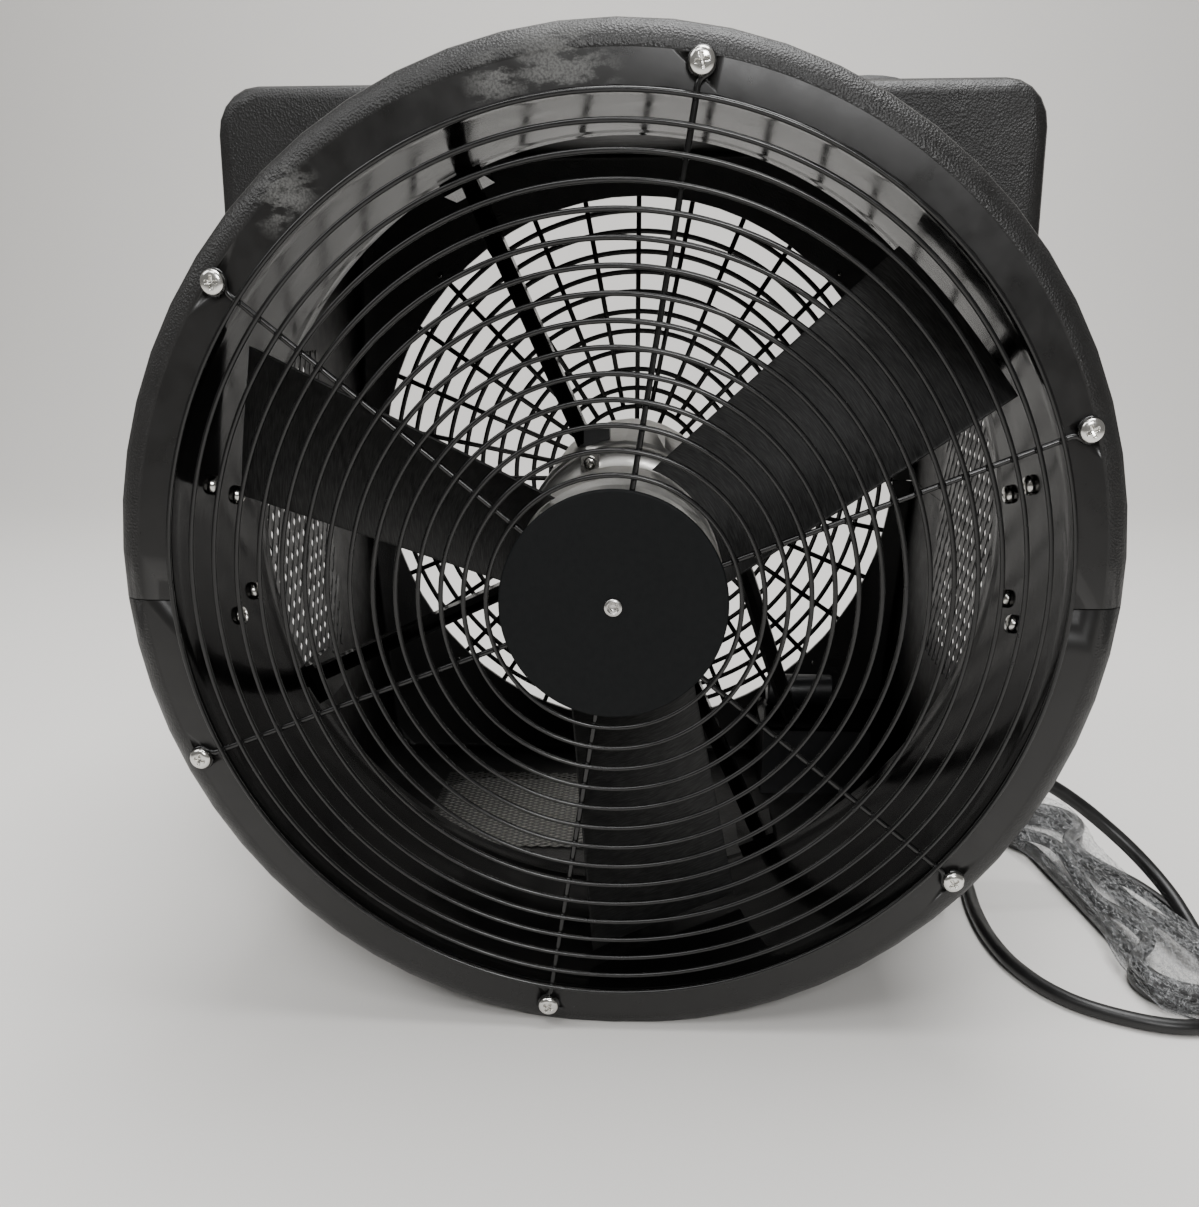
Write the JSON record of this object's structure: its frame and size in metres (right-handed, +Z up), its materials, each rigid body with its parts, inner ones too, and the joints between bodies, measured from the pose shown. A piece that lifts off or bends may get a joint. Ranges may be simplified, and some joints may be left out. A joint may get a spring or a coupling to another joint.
{
  "type": "axial blower fan",
  "caption": "Portable round-outlet axial blower with a wire guard, in a square moulded housing with flange, carry loop, side vents, rear grille and mains cord.",
  "frame": {"origin": "centre of the bounding box's base, cord left out", "axes": "-Y is the way the air leaves, +Y the rear grille, +Z up, +X towards the cord's side; the blower lies on its side with the fan axis along Y"},
  "size_m": [0.6547, 0.486, 0.5208],
  "materials": {
    "housing_black": "pebbled moulded plastic, satin",
    "gloss_black": "gloss black enamel on steel",
    "wire_black": "black dipped wire",
    "matte_black": "matt black coating",
    "blade_black": "satin black, brushed",
    "cast_aluminium": "cast and machined",
    "steel": "machined",
    "zinc": "zinc plated",
    "mesh_black": "black mesh",
    "nylon_black": "moulded nylon",
    "rocker_red": "gloss",
    "cord_rubber": "smooth jacket",
    "brass": "plated"
  },
  "bodies": {
    "blower": {"housing_upper": "housing_black", "housing_lower": "housing_black", "carry_loop": "housing_black", "duct_ring": "gloss_black", "motor_arm_1": "gloss_black", "motor_arm_2": "gloss_black", "motor_arm_3": "gloss_black", "motor_arm_4": "gloss_black", "control_lid": "gloss_black", "front_guard": "wire_black", "plate_clamp": "wire_black", "rear_guard": "wire_black", "guard_plate": "matte_black", "motor_front_bell": "cast_aluminium", "motor_body": "cast_aluminium", "motor_rear_bell": "cast_aluminium", "plate_rivet": "steel", "ground_tab": "steel", "guard_screw_1": "zinc", "guard_screw_2": "zinc", "guard_screw_3": "zinc", "guard_screw_4": "zinc", "guard_screw_5": "zinc", "guard_screw_6": "zinc", "duct_bolt_1": "zinc", "duct_bolt_2": "zinc", "duct_bolt_3": "zinc", "duct_bolt_4": "zinc", "duct_bolt_5": "zinc", "duct_bolt_6": "zinc", "duct_bolt_7": "zinc", "duct_bolt_8": "zinc", "ground_screw": "zinc", "rear_screw_1": "zinc", "rear_screw_2": "zinc", "rear_screw_3": "zinc", "rear_screw_4": "zinc", "vent_mesh_right": "mesh_black", "vent_mesh_left": "mesh_black", "vent_mesh_floor": "mesh_black", "terminal_block": "nylon_black", "control_box": "nylon_black", "run_capacitor": "nylon_black", "switch_body": "nylon_black", "cord_gland": "nylon_black", "plug_body": "nylon_black", "motor_lead": "cord_rubber", "cord_feed": "cord_rubber", "cord_hank": "cord_rubber", "cord_lead": "cord_rubber", "plug_pin_line": "brass", "plug_pin_neutral": "brass", "plug_pin_ground": "brass"},
    "rotor": {"hub": "cast_aluminium", "blade_1": "blade_black", "blade_2": "blade_black", "blade_3": "blade_black", "shaft": "steel", "hub_nut": "zinc"},
    "rocker": {"switch_rocker": "rocker_red"}
  },
  "joints": [
    {"name": "fan_spin", "type": "hinge", "parent": "blower", "child": "rotor", "pos_m": [0, -0.1957, 0.2535], "axis": [0, 1, 0], "continuous": true},
    {"name": "switch_rock", "type": "hinge", "parent": "blower", "child": "rocker", "pos_m": [0.234, 0.1553, 0.3133], "axis": [0, 1, 0], "range_deg": [-16, 0]}
  ]
}
